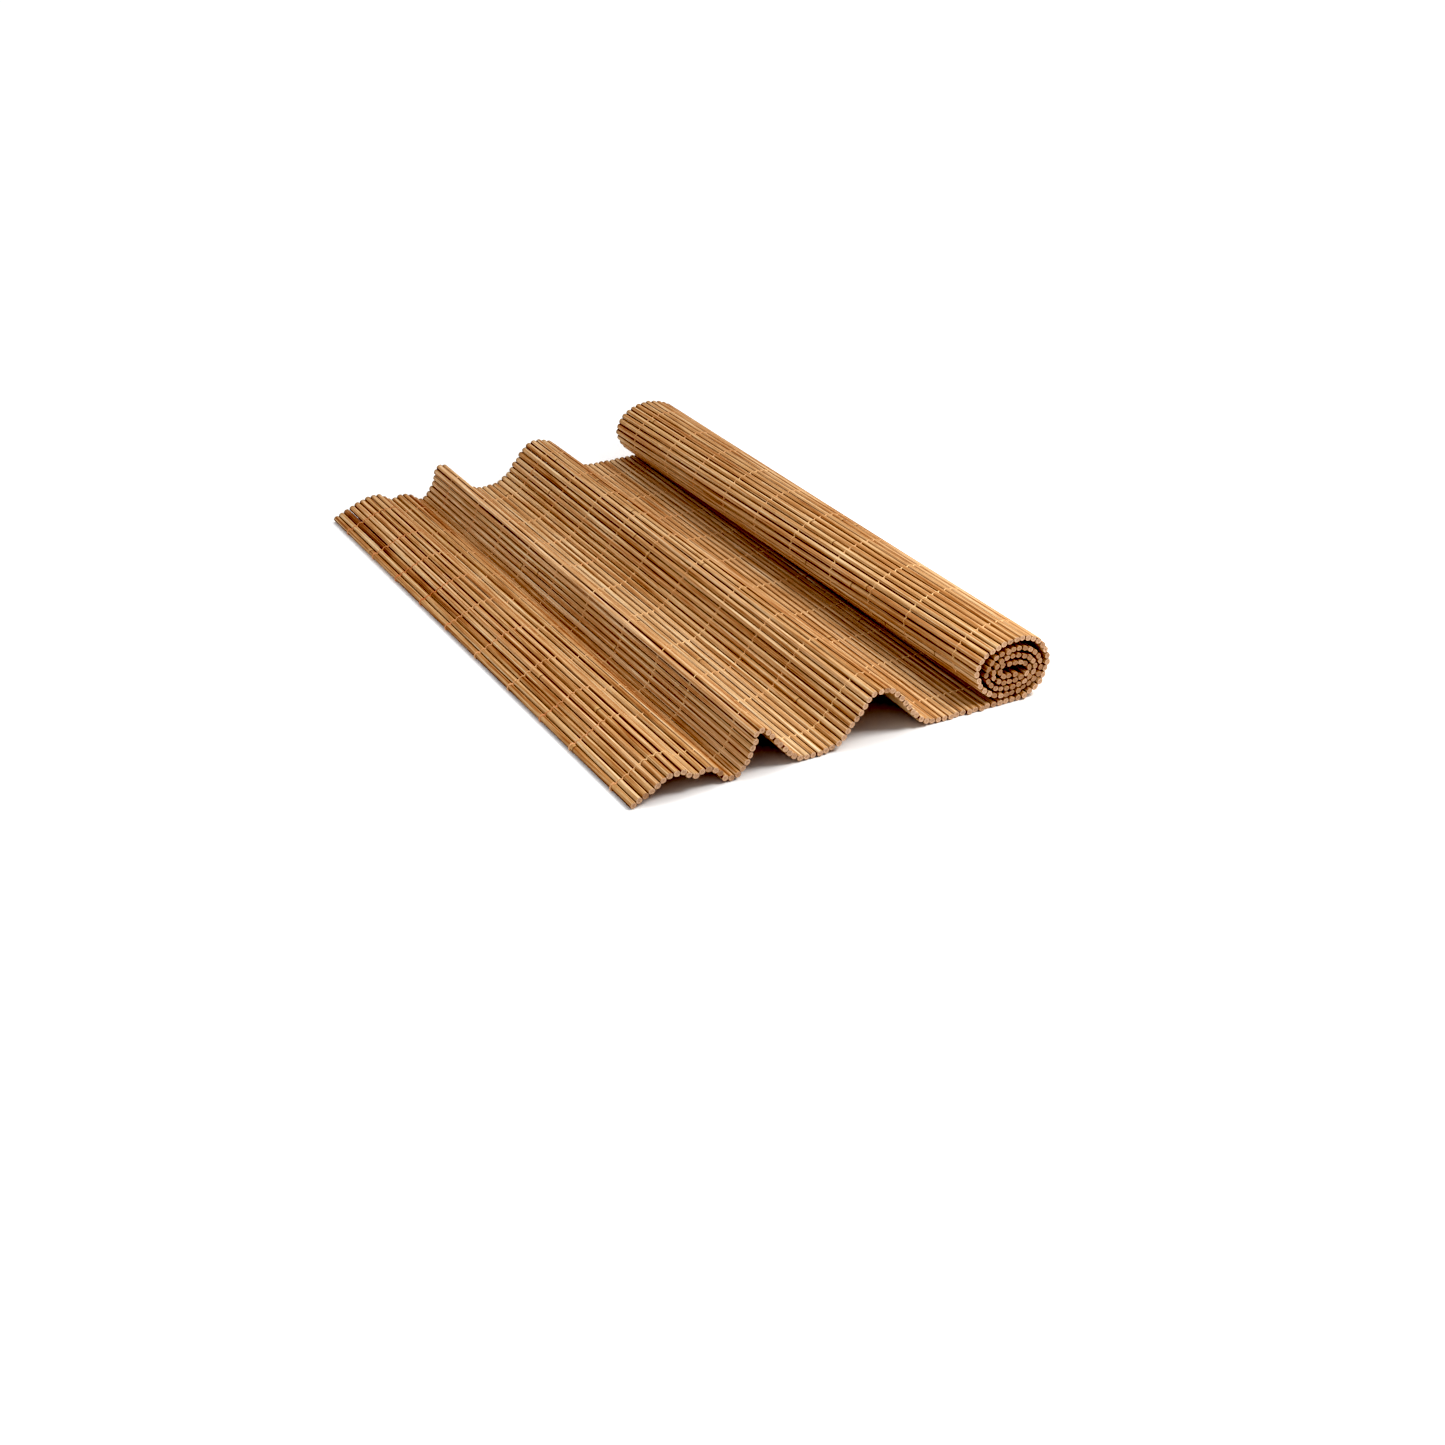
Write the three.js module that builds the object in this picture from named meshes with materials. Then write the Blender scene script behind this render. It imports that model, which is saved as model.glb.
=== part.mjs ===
// Bamboo placemat, partly unrolled: a loose end lying in low waves, and the rest wound into a flattish roll.
// Units are millimetres and +Z is up. X runs across the slats from the loose edge to the roll, Y runs along
// the slats from their near end to their far end, and the mat rests on z = 0.

import * as THREE from 'three';

// Driving dimensions of the slats
const SLAT_COUNT = 160;
const SLAT_LENGTH = 300;
const SLAT_THICKNESS = 2.3;
const END_SCATTER = 1.4;

// The tied gap between two slats is a thin web, set back a little from their ends
const WEB_THICKNESS = 0.7;
const WEB_SETBACK = 1.1;

// Free space between one layer of the roll and the next
const LAYER_GAP = 0.4;

// A slat has eight corners, given here as angles in degrees from the way the mat runs: a level facet lies
// between the two flank angles and their opposites
const RIM_ANGLE = 30;
const FACET_ANGLE = 70;
const UPPER_CORNERS = [180 - RIM_ANGLE, 180 - FACET_ANGLE, FACET_ANGLE, RIM_ANGLE];
const CORNER_RADIUS = SLAT_THICKNESS / 2 / Math.sin(THREE.MathUtils.degToRad(FACET_ANGLE));

// Centre heights: of a slat on the surface, of one just clear of it, and of the roll's layers above the first
const LAID = SLAT_THICKNESS / 2;
const VALLEY = LAID + 0.08;
const LAYER_2 = LAID + SLAT_THICKNESS + LAYER_GAP;
const LAYER_3 = LAYER_2 + SLAT_THICKNESS + LAYER_GAP;
const LAYER_4 = LAYER_3 + SLAT_THICKNESS + LAYER_GAP;
const CORE = LAYER_4 + SLAT_THICKNESS + LAYER_GAP;

// The mat's centre line, a row for each fold and for each quarter turn of the roll. A row has its place at the
// slats' near end and at their far end, the direction in degrees in which the mat runs on there (0 is +X and
// 90 is +Z), and its roundness: 1 bends like a quarter of an ellipse, and less is a sharper bend.
const FOLDS = [
  { fold: 'loose edge', nearX: 0, nearZ: 1.3, farX: -1.4, farZ: 1.3, heading: 22, round: 1 },
  { fold: 'crest A', nearX: 18.6, nearZ: 9.2, farX: 18.4, farZ: 7.7, heading: 2, round: 0.8 },
  { fold: 'dip in crest A', nearX: 23.8, nearZ: 6.3, farX: 24.2, farZ: 4.3, heading: -3, round: 0.7 },
  { fold: 'second crest A', nearX: 29.4, nearZ: 7.1, farX: 30.4, farZ: 5.3, heading: -4, round: 1 },
  { fold: 'valley AB', nearX: 37.6, nearZ: VALLEY, farX: 38.8, farZ: VALLEY, heading: 0, round: 0.5 },
  { fold: 'rise to B', nearX: 46.9, nearZ: 9.2, farX: 45.6, farZ: 8.4, heading: 66, round: 1.2 },
  { fold: 'crest B', nearX: 50.1, nearZ: 16.8, farX: 49.2, farZ: 15.9, heading: 4, round: 0.9 },
  { fold: 'fall from B', nearX: 57.4, nearZ: 10.3, farX: 56.4, farZ: 9.3, heading: -49, round: 1 },
  { fold: 'valley BC', nearX: 71, nearZ: VALLEY, farX: 70.5, farZ: VALLEY, heading: 0, round: 1 },
  { fold: 'rise to C', nearX: 89.2, nearZ: 10.1, farX: 86.1, farZ: 9.8, heading: 50, round: 1 },
  { fold: 'crest C', nearX: 101.2, nearZ: 19.5, farX: 98, farZ: 18.5, heading: -8, round: 0.8 },
  { fold: 'fall from C', nearX: 111.3, nearZ: 11.2, farX: 109.6, farZ: 10.7, heading: -53, round: 1 },
  { fold: 'level stretch', nearX: 127.5, nearZ: LAID, farX: 127, farZ: LAID, heading: 0, round: 1 },
  { fold: 'under turn 1', nearX: 159.5, nearZ: LAID, farX: 157.5, farZ: LAID, heading: 0, round: 1 },
  { fold: 'right of turn 1', nearX: 173.2, nearZ: 13.4, farX: 171.7, farZ: 13.4, heading: 90, round: 1 },
  { fold: 'over turn 1', nearX: 160, nearZ: 25.8, farX: 155.5, farZ: 26.6, heading: 180, round: 1 },
  { fold: 'left of turn 1', nearX: 141.7, nearZ: 16, farX: 140, farZ: 15.5, heading: 270, round: 1 },
  { fold: 'under turn 2', nearX: 154.5, nearZ: LAYER_2, farX: 152.5, farZ: LAYER_2, heading: 0, round: 1 },
  { fold: 'right of turn 2', nearX: 170.4, nearZ: 12.3, farX: 169, farZ: 12.3, heading: 90, round: 1 },
  { fold: 'over turn 2', nearX: 157.5, nearZ: 22.6, farX: 154, farZ: 23.1, heading: 180, round: 1 },
  { fold: 'left of turn 2', nearX: 145, nearZ: 15, farX: 143.2, farZ: 15, heading: 270, round: 1 },
  { fold: 'under turn 3', nearX: 154.3, nearZ: LAYER_3, farX: 152.3, farZ: LAYER_3, heading: 0, round: 1 },
  { fold: 'right of turn 3', nearX: 167.7, nearZ: 12.3, farX: 166.1, farZ: 12.3, heading: 90, round: 1 },
  { fold: 'over turn 3', nearX: 156.2, nearZ: 19.9, farX: 153, farZ: 20.3, heading: 180, round: 1 },
  { fold: 'left of turn 3', nearX: 147.9, nearZ: 14.4, farX: 146.1, farZ: 14.4, heading: 270, round: 1 },
  { fold: 'under turn 4', nearX: 155.5, nearZ: LAYER_4, farX: 154, farZ: LAYER_4, heading: 0, round: 1 },
  { fold: 'right of turn 4', nearX: 164.8, nearZ: 13, farX: 163, farZ: 13, heading: 90, round: 1 },
  { fold: 'over turn 4', nearX: 155, nearZ: 17.1, farX: 152.6, farZ: 17.5, heading: 180, round: 1 },
  { fold: 'left of turn 4', nearX: 151.1, nearZ: 14.6, farX: 149.5, farZ: 14.8, heading: 270, round: 1 },
  { fold: 'under the core', nearX: 154.2, nearZ: CORE, farX: 152.6, farZ: CORE, heading: 0, round: 1 },
  { fold: 'inner edge', nearX: 158, nearZ: CORE, farX: 156.4, farZ: CORE, heading: 0, round: 1 },
];

// Share of a quarter turn's reach that a cubic curve's handle takes to follow an ellipse
const ELLIPSE_HANDLE = 0.5523;

// Factors of the usual sine hash, which gives each slat's ends a steady scatter
const HASH = { row: 12.9898, column: 78.233, scale: 43758.5453 };

// Places a handle on the line through a fold, as long as the next fold is away in that direction
function handle(from, to, fold, sign) {
  const angle = THREE.MathUtils.degToRad(fold.heading);
  const direction = new THREE.Vector2(Math.cos(angle), Math.sin(angle));
  const reach = Math.abs(to.clone().sub(from).dot(direction));
  const length = sign * ELLIPSE_HANDLE * fold.round * reach;
  return from.clone().addScaledVector(direction, length);
}

// Joins the folds at one end of the slats into a smooth path in the XZ plane
function centreLine(end) {
  const places = FOLDS.map((fold) => new THREE.Vector2(fold[end + 'X'], fold[end + 'Z']));
  const path = new THREE.CurvePath();
  for (let i = 1; i < FOLDS.length; i += 1) {
    const start = places[i - 1];
    const stop = places[i];
    const leaving = handle(start, stop, FOLDS[i - 1], 1);
    const arriving = handle(stop, start, FOLDS[i], -1);
    path.add(new THREE.CubicBezierCurve(start, leaving, arriving, stop));
  }
  return path;
}

// Sets the slats at equal steps along a path
function slatCentres(path) {
  const centres = [];
  for (let i = 0; i < SLAT_COUNT; i += 1) {
    centres.push(path.getPointAt(i / (SLAT_COUNT - 1)));
  }
  return centres;
}

// A number between 0 and 1 that looks random and is the same in every run
function scatter(row, column) {
  const wave = Math.sin(row * HASH.row + column * HASH.column) * HASH.scale;
  return wave - Math.floor(wave);
}

// The direction in which the mat runs past a slat, from its neighbours' places
function headingAt(centres, index) {
  const before = centres[Math.max(index - 1, 0)];
  const after = centres[Math.min(index + 1, SLAT_COUNT - 1)];
  const ahead = after.clone().sub(centres[index]).normalize();
  const behind = centres[index].clone().sub(before).normalize();
  return ahead.add(behind).angle();
}

// A corner of a slat, at an angle from the way the mat runs
function corner(centre, heading, degrees, y) {
  const angle = heading + THREE.MathUtils.degToRad(degrees);
  return [centre.x + CORNER_RADIUS * Math.cos(angle), y, centre.y + CORNER_RADIUS * Math.sin(angle)];
}

// The web between a slat and the next one: its upper edge with side 1, its lower edge with side -1
function webEdge(centres, index, side, y) {
  const chord = centres[index + 1].clone().sub(centres[index]);
  const middle = centres[index].clone().addScaledVector(chord, 0.5);
  const across = new THREE.Vector2(-chord.y, chord.x).normalize();
  middle.addScaledVector(across, side * WEB_THICKNESS / 2);
  return [middle.x, y, middle.y];
}

// One end of the mat as two rows of points, along its upper and its lower face. The slats' ends lie within the
// scatter of endY, on the side that inward points to.
function endRows(centres, endY, inward) {
  const slatEnd = (i) => endY + inward * END_SCATTER * scatter(i, inward);
  const upper = [];
  const lower = [];
  for (let i = 0; i < SLAT_COUNT; i += 1) {
    const heading = headingAt(centres, i);
    for (const degrees of UPPER_CORNERS) {
      upper.push(corner(centres[i], heading, degrees, slatEnd(i)));
      lower.push(corner(centres[i], heading, -degrees, slatEnd(i)));
    }
    if (i < SLAT_COUNT - 1) {
      const webEnd = (slatEnd(i) + slatEnd(i + 1)) / 2 + inward * WEB_SETBACK;
      upper.push(webEdge(centres, i, 1, webEnd));
      lower.push(webEdge(centres, i, -1, webEnd));
    }
  }
  return { upper, lower };
}

// Closes the space between the rows of both ends into one body, with its faces outward
function sheetGeometry(near, far) {
  const count = near.upper.length;
  const points = [near.upper, near.lower, far.upper, far.lower].flat(2);
  const [nearUpper, nearLower, farUpper, farLower] = [0, count, 2 * count, 3 * count];
  const faces = [];
  const addQuad = (a, b, c, d) => faces.push(a, b, c, a, c, d);
  for (let i = 0; i < count - 1; i += 1) {
    addQuad(nearUpper + i, nearUpper + i + 1, farUpper + i + 1, farUpper + i);
    addQuad(nearLower + i, farLower + i, farLower + i + 1, nearLower + i + 1);
    addQuad(nearUpper + i, nearLower + i, nearLower + i + 1, nearUpper + i + 1);
    addQuad(farUpper + i, farUpper + i + 1, farLower + i + 1, farLower + i);
  }
  const last = count - 1;
  addQuad(nearUpper, farUpper, farLower, nearLower);
  addQuad(nearUpper + last, nearLower + last, farLower + last, farUpper + last);
  const geometry = new THREE.BufferGeometry();
  geometry.setAttribute('position', new THREE.Float32BufferAttribute(points, 3));
  geometry.setIndex(faces);
  return geometry;
}

// Moves a shape so that the middle of its box's underside is at the origin
function standOnOrigin(geometry) {
  geometry.computeBoundingBox();
  const { min, max } = geometry.boundingBox;
  geometry.translate(-(min.x + max.x) / 2, -(min.y + max.y) / 2, -min.z);
}

function slatMat() {
  const near = endRows(slatCentres(centreLine('near')), 0, 1);
  const far = endRows(slatCentres(centreLine('far')), SLAT_LENGTH, -1);
  const geometry = sheetGeometry(near, far);
  standOnOrigin(geometry);
  geometry.computeVertexNormals();
  const bamboo = new THREE.MeshStandardMaterial({ color: 0xc4955a, roughness: 0.55, metalness: 0 });
  const mesh = new THREE.Mesh(geometry, bamboo);
  mesh.name = 'slat_mat';
  return mesh;
}

const group = new THREE.Group();
group.add(slatMat());

export default group;
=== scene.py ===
# %% [markdown]
# A bamboo placemat, partly unrolled. About 160 thin round slats lie side by side and ten rows of thread tie
# them into one mat. Its loose end lies in three low waves, and the rest is wound into a flattish roll. The
# solid that is loaded here already has the right size, waves and roll, but its slats are plain eight-sided
# bars and it has no thread, so this lesson builds round slats, thread and finish on the same centre lines.

# %% Load the frame
import collections
import math

import bpy
import numpy as np
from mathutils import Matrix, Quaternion, Vector


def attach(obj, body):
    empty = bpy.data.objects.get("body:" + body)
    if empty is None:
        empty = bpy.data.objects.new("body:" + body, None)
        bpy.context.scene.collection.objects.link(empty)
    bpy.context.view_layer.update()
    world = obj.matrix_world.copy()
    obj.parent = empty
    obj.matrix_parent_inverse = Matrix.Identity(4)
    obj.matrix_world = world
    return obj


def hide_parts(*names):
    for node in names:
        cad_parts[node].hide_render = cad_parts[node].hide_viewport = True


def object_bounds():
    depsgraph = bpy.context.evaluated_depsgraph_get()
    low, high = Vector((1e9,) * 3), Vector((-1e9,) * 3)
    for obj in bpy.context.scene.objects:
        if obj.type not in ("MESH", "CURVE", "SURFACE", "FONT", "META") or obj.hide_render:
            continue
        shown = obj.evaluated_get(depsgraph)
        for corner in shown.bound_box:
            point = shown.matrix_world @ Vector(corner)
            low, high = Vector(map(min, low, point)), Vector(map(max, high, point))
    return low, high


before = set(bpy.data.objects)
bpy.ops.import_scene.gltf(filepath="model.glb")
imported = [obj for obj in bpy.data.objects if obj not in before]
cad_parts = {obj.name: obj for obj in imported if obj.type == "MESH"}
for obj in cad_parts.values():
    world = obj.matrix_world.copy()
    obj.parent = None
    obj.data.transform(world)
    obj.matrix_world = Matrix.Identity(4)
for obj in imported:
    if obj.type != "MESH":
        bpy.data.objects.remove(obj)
cad_low, cad_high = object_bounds()
MM = 0.001
scene = bpy.context.scene
print("frame", sorted(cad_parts), "box in mm", [round(side / MM, 2) for side in cad_high - cad_low])

# %% [markdown]
# The camera comes first, because every later choice is judged through it. It stands left of the slats' near
# end, a little under a metre away, and looks down at about 28 degrees. Its place, direction and small roll
# were fitted to the slat ends. Blender's own helper turns the direction of view into a rotation, and the
# roll is then a turn about the camera's own axis.

# %% Camera
CAMERA_PLACE = Vector((-362.98, -743.46, 380.46)) * MM
CAMERA_FORWARD = Vector((0.41115, 0.78184, -0.46870))
CAMERA_RIGHT = Vector((0.88034, -0.47399, -0.01842))
LENS = 54.724
SENSOR = 36
NEAR_CLIP = 0.01

camera = bpy.data.objects.new("camera", bpy.data.cameras.new("camera"))
scene.collection.objects.link(camera)
scene.camera = camera
camera.data.lens = LENS
camera.data.sensor_width = SENSOR
camera.data.clip_start = NEAR_CLIP
camera.location = CAMERA_PLACE
level_view = CAMERA_FORWARD.to_track_quat("-Z", "Y")
level_right = level_view @ Vector((1, 0, 0))
level_up = level_view @ Vector((0, 1, 0))
camera_roll = math.atan2(CAMERA_RIGHT.dot(level_up), CAMERA_RIGHT.dot(level_right))
camera.rotation_mode = "QUATERNION"
camera.rotation_quaternion = level_view @ Quaternion((0, 0, 1), camera_roll)
print("camera roll in degrees", round(math.degrees(camera_roll), 2))

# %% [markdown]
# The mat lies on a plain white table in soft daylight. The light comes from the right and a little from
# behind, as the waves' pale right slopes say. A sun lamp with a wide disc gives the same light all over the
# floor, and a white world fills the shadows. The world is brighter behind the mat than in front of it, and
# a little brighter on its left, so that the cut near ends stay darker than the slats' backs. The near
# halves of the slats are paler than their far halves, so a small softbox stands to the right of the near
# end, out of the picture. Last, the picture is printed a little harder than it was lit, with a gamma below
# one and a black level for each colour: whites stay white, and the shaded bamboo turns deeper and warmer.

# %% Values of the floor and the light
FLOOR_SIZE = 12
FLOOR_DROP = 0.05 * MM
SUN_TILT = math.radians(33)
SUN_BEARING = math.radians(60)
SUN_DISC = math.radians(30)
SUN_STRENGTH = 1.14
FILL_STRENGTH = 0.81
FILL_LEAN = Vector((-0.27, 0.6, 0))
LAMP_PLACE = Vector((0.22, -0.27, 0.34))
LAMP_AIM = Vector((-0.02, -0.14, 0))
LAMP_SIZE = 0.15
LAMP_POWER = 1.4
PRINT_GAMMA = 0.87
PRINT_BLACK = (0.05, 0.0515, 0.042)
TABLE_WHITE = (0.92, 0.92, 0.92)
TABLE_ROUGHNESS = 0.9

# %% Floor
half = FLOOR_SIZE / 2
floor_mesh = bpy.data.meshes.new("floor")
floor_corners = [(x, y, -FLOOR_DROP) for x, y in ((-half, -half), (half, -half), (half, half), (-half, half))]
floor_mesh.from_pydata(floor_corners, [], [(0, 1, 2, 3)])
floor = bpy.data.objects.new("floor", floor_mesh)
scene.collection.objects.link(floor)
white_table = bpy.data.materials.new("white_table")
white_table.use_nodes = True
table_inputs = white_table.node_tree.nodes["Principled BSDF"].inputs
table_inputs["Base Color"].default_value = (*TABLE_WHITE, 1)
table_inputs["Roughness"].default_value = TABLE_ROUGHNESS
floor.data.materials.append(white_table)
print("floor", FLOOR_SIZE, "m wide")

# %% Sun and softbox
sun = bpy.data.objects.new("sun", bpy.data.lights.new("sun", "SUN"))
scene.collection.objects.link(sun)
sun.data.energy = SUN_STRENGTH
sun.data.angle = SUN_DISC
sun_side = Vector((math.sin(SUN_BEARING), math.cos(SUN_BEARING), 0)) * math.sin(SUN_TILT)
towards_sun = sun_side + Vector((0, 0, math.cos(SUN_TILT)))
sun.rotation_mode = "QUATERNION"
sun.rotation_quaternion = towards_sun.to_track_quat("Z", "Y")

lamp = bpy.data.objects.new("lamp", bpy.data.lights.new("lamp", "AREA"))
scene.collection.objects.link(lamp)
lamp.data.energy = LAMP_POWER
lamp.data.size = LAMP_SIZE
lamp.visible_camera = False
lamp.location = LAMP_PLACE
lamp.rotation_mode = "QUATERNION"
lamp.rotation_quaternion = (LAMP_PLACE - LAMP_AIM).to_track_quat("Z", "Y")
print("sun from", [round(part, 2) for part in towards_sun])

# %% World and print
world = bpy.data.worlds.new("studio")
world.use_nodes = True
nodes, links = world.node_tree.nodes, world.node_tree.links
nodes["Background"].inputs["Color"].default_value = (1, 1, 1, 1)
direction = nodes.new("ShaderNodeTexCoord")
lean = nodes.new("ShaderNodeVectorMath")
lean.operation = "DOT_PRODUCT"
lean.inputs[1].default_value = FILL_LEAN * FILL_STRENGTH
brightness = nodes.new("ShaderNodeMath")
brightness.inputs[1].default_value = FILL_STRENGTH
links.new(direction.outputs["Generated"], lean.inputs[0])
links.new(lean.outputs["Value"], brightness.inputs[0])
links.new(brightness.outputs[0], nodes["Background"].inputs["Strength"])
scene.world = world
scene.view_settings.view_transform = "Standard"
scene.view_settings.gamma = PRINT_GAMMA
scene.view_settings.use_curve_mapping = True
scene.view_settings.curve_mapping.black_level = PRINT_BLACK
scene.view_settings.curve_mapping.update()
print("world of strength", FILL_STRENGTH)

# %% [markdown]
# The mat's shape is one centre line at the slats' near end and another at their far end. Each is a smooth
# path through the folds of a short table: where the fold is, which way the mat runs on there, and how round
# the bend is. A cubic Bezier curve between each two folds is the simplest path that keeps both directions,
# and the solid was built on the same path, so the slats made here fall where the solid's are. Only the
# roll's inner turns are drawn in by about a millimetre, because the photograph shows a dark crescent
# between them and the outer turn, wider than a solid's even gap.

# %% The folds
SLAT_COUNT = 160
SLAT_LENGTH = 300
SLAT_THICKNESS = 2.3
LAYER_GAP = 0.4
LAID = SLAT_THICKNESS / 2
# The slats at the foot of a wave lie a hair above the table
VALLEY_LIFT = 0.08
VALLEY = LAID + VALLEY_LIFT
LAYER_2 = LAID + SLAT_THICKNESS + LAYER_GAP
LAYER_3 = LAYER_2 + SLAT_THICKNESS + LAYER_GAP
LAYER_4 = LAYER_3 + SLAT_THICKNESS + LAYER_GAP
CORE = LAYER_4 + SLAT_THICKNESS + LAYER_GAP

Fold = collections.namedtuple("Fold", "name near_x near_z far_x far_z heading round")
FOLDS = [
    Fold("loose edge", 0, 1.3, -1.4, 1.3, 22, 1),
    Fold("crest A", 18.6, 9.2, 18.4, 7.7, 2, 0.8),
    Fold("dip in crest A", 23.8, 6.3, 24.2, 4.3, -3, 0.7),
    Fold("second crest A", 29.4, 7.1, 30.4, 5.3, -4, 1),
    Fold("valley AB", 37.6, VALLEY, 38.8, VALLEY, 0, 0.5),
    Fold("rise to B", 46.9, 9.2, 45.6, 8.4, 66, 1.2),
    Fold("crest B", 50.1, 16.8, 49.2, 15.9, 4, 0.9),
    Fold("fall from B", 57.4, 10.3, 56.4, 9.3, -49, 1),
    Fold("valley BC", 71, VALLEY, 70.5, VALLEY, 0, 1),
    Fold("rise to C", 89.2, 10.1, 86.1, 9.8, 50, 1),
    Fold("crest C", 101.2, 19.5, 98, 18.5, -8, 0.8),
    Fold("fall from C", 111.3, 11.2, 109.6, 10.7, -53, 1),
    Fold("level stretch", 127.5, LAID, 127, LAID, 0, 1),
    Fold("under turn 1", 159.5, LAID, 157.5, LAID, 0, 1),
    Fold("right of turn 1", 173.2, 13.4, 171.7, 13.4, 90, 1),
    Fold("over turn 1", 160, 25.8, 155.5, 26.6, 180, 1),
    Fold("left of turn 1", 141.7, 16, 140, 15.5, 270, 1),
    Fold("under turn 2", 154.5, LAYER_2, 152.5, LAYER_2, 0, 1),
    Fold("right of turn 2", 170.4, 12.3, 169, 12.3, 90, 1),
    Fold("over turn 2", 157.5, 22.6, 154, 23.1, 180, 1),
    Fold("left of turn 2", 145, 15, 143.2, 15, 270, 1),
    Fold("under turn 3", 154.3, LAYER_3, 152.3, LAYER_3, 0, 1),
    Fold("right of turn 3", 167.7, 12.3, 166.1, 12.3, 90, 1),
    Fold("over turn 3", 156.2, 19.9, 153, 20.3, 180, 1),
    Fold("left of turn 3", 147.9, 14.4, 146.1, 14.4, 270, 1),
    Fold("under turn 4", 155.5, LAYER_4, 154, LAYER_4, 0, 1),
    Fold("right of turn 4", 164.8, 13, 163, 13, 90, 1),
    Fold("over turn 4", 155, 17.1, 152.6, 17.5, 180, 1),
    Fold("left of turn 4", 151.1, 14.6, 149.5, 14.8, 270, 1),
    Fold("under the core", 154.2, CORE, 152.6, CORE, 0, 1),
    Fold("inner edge", 158, CORE, 156.4, CORE, 0, 1),
]
print(len(FOLDS), "folds")

# %% Centre lines
# Share of a quarter turn's reach that a curve's handle takes to follow an ellipse
ELLIPSE_HANDLE = 0.5523
CURVE_STEPS = 200
# How far the slats' outline reaches left of where the table's X starts
LEFT_REACH = 2.612
# The inner turns start to be drawn in after this slat, and are so in full a few slats on
OUTER_TURN_STOP = 95
EASING_SLATS = 8
INNER_SHRINKAGE = (0.957, 0.962)


def centre_line(places):
    """A dense run of points along the smooth path through one end's folds."""
    path = [places[:1]]
    step = np.linspace(0, 1, CURVE_STEPS + 1)[1:, None]
    for i in range(1, len(FOLDS)):
        chord = places[i] - places[i - 1]
        handles = []
        for fold in (FOLDS[i - 1], FOLDS[i]):
            angle = math.radians(fold.heading)
            direction = np.array([math.cos(angle), math.sin(angle)])
            handles.append(direction * ELLIPSE_HANDLE * fold.round * abs(chord @ direction))
        leaving = places[i - 1] + handles[0]
        arriving = places[i] - handles[1]
        early = (1 - step) ** 3 * places[i - 1] + 3 * (1 - step) ** 2 * step * leaving
        late = 3 * (1 - step) * step**2 * arriving + step**3 * places[i]
        path.append(early + late)
    return np.concatenate(path)


def slat_centres(places):
    """The slats' centres at one end, at equal steps along the path, as rows of X and Z."""
    path = centre_line(places)
    travelled = np.concatenate([[0], np.cumsum(np.linalg.norm(np.diff(path, axis=0), axis=1))])
    stops = np.linspace(0, travelled[-1], SLAT_COUNT)
    print("path of", round(travelled[-1], 1), "mm, pitch", round(stops[1], 3))
    return np.stack([np.interp(stops, travelled, path[:, k]) for k in (0, 1)], axis=1)


def squeezed(centres):
    """The centres with the inner turns drawn down and to the right, out of the outer turn."""
    share = ((np.arange(SLAT_COUNT) - OUTER_TURN_STOP) / EASING_SLATS).clip(0, 1)[:, None]
    inner = centres[OUTER_TURN_STOP + EASING_SLATS :]
    pivot = np.array([inner[:, 0].max(), LAYER_2])
    return centres + share * (centres - pivot) * (np.array(INNER_SHRINKAGE) - 1)


to_frame = np.array([cad_low.x / MM + LEFT_REACH, 0])
near_folds = np.array([[fold.near_x, fold.near_z] for fold in FOLDS], float)
far_folds = np.array([[fold.far_x, fold.far_z] for fold in FOLDS], float)
near_centres = squeezed(slat_centres(near_folds)) + to_frame
far_centres = squeezed(slat_centres(far_folds)) + to_frame
PITCH = float(np.linalg.norm(near_centres[1] - near_centres[0]))

# %% [markdown]
# No two slats are alike. Each is split bamboo that was pulled through a round die, so its thickness, how
# far it stands out of the mat and the place of its growth nodes differ. All of that is drawn once, from a
# seeded generator, so every run gives the same mat. A slat is a little wider than thick and reaches to
# within a hair of the next, so no light comes through the seams, and it is never thicker than the way to
# the next turn of the roll allows. The roll's inner turns are thinner slats, which leaves the dark lines
# between the turns. One that lies on the table is lifted until it just touches it. At the far end the first
# three slats have slipped a little to the left, which opens a gap beside them.

# %% Thickness and place of each slat
HALF_WIDTH = 1.36
WIDEST = 1.42
HALF_THICKNESS = 1.17
THICKNESS_SPREAD = 0.035
THICKNESS_RANGE = (1.09, 1.25)
CLEARANCE = 0.003
THIN_FROM = 100
THINNER = 0.88
SLIPPED_SLATS = 3
SLIP = 0.35
STAND_SPREAD = 0.07
STAND_MOST = 0.14
SEED = 160
draw = np.random.default_rng(SEED)


def nearest_neighbour(centres):
    """How far each slat's centre is from the nearest other one."""
    apart = np.linalg.norm(centres[:, None] - centres[None], axis=2)
    np.fill_diagonal(apart, np.inf)
    return apart.min(axis=1)


room = np.minimum(nearest_neighbour(near_centres), nearest_neighbour(far_centres)) / 2 - CLEARANCE
drawn_thick = draw.normal(HALF_THICKNESS, THICKNESS_SPREAD, SLAT_COUNT).clip(*THICKNESS_RANGE)
half_thick = np.minimum(drawn_thick, room)
half_thick[THIN_FROM:] *= THINNER
near_centres[:, 1] = np.maximum(near_centres[:, 1], half_thick)
far_centres[:, 1] = np.maximum(far_centres[:, 1], half_thick)
far_centres[:SLIPPED_SLATS, 0] -= SLIP

# How far each slat stands out of the mat's middle at its two ends
PAIRS = (SLAT_COUNT, 2)
stand = draw.normal(0, STAND_SPREAD, PAIRS).clip(-STAND_MOST, STAND_MOST)
print("half thicknesses", round(half_thick.min(), 3), "to", round(half_thick.max(), 3), "mm")

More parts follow.
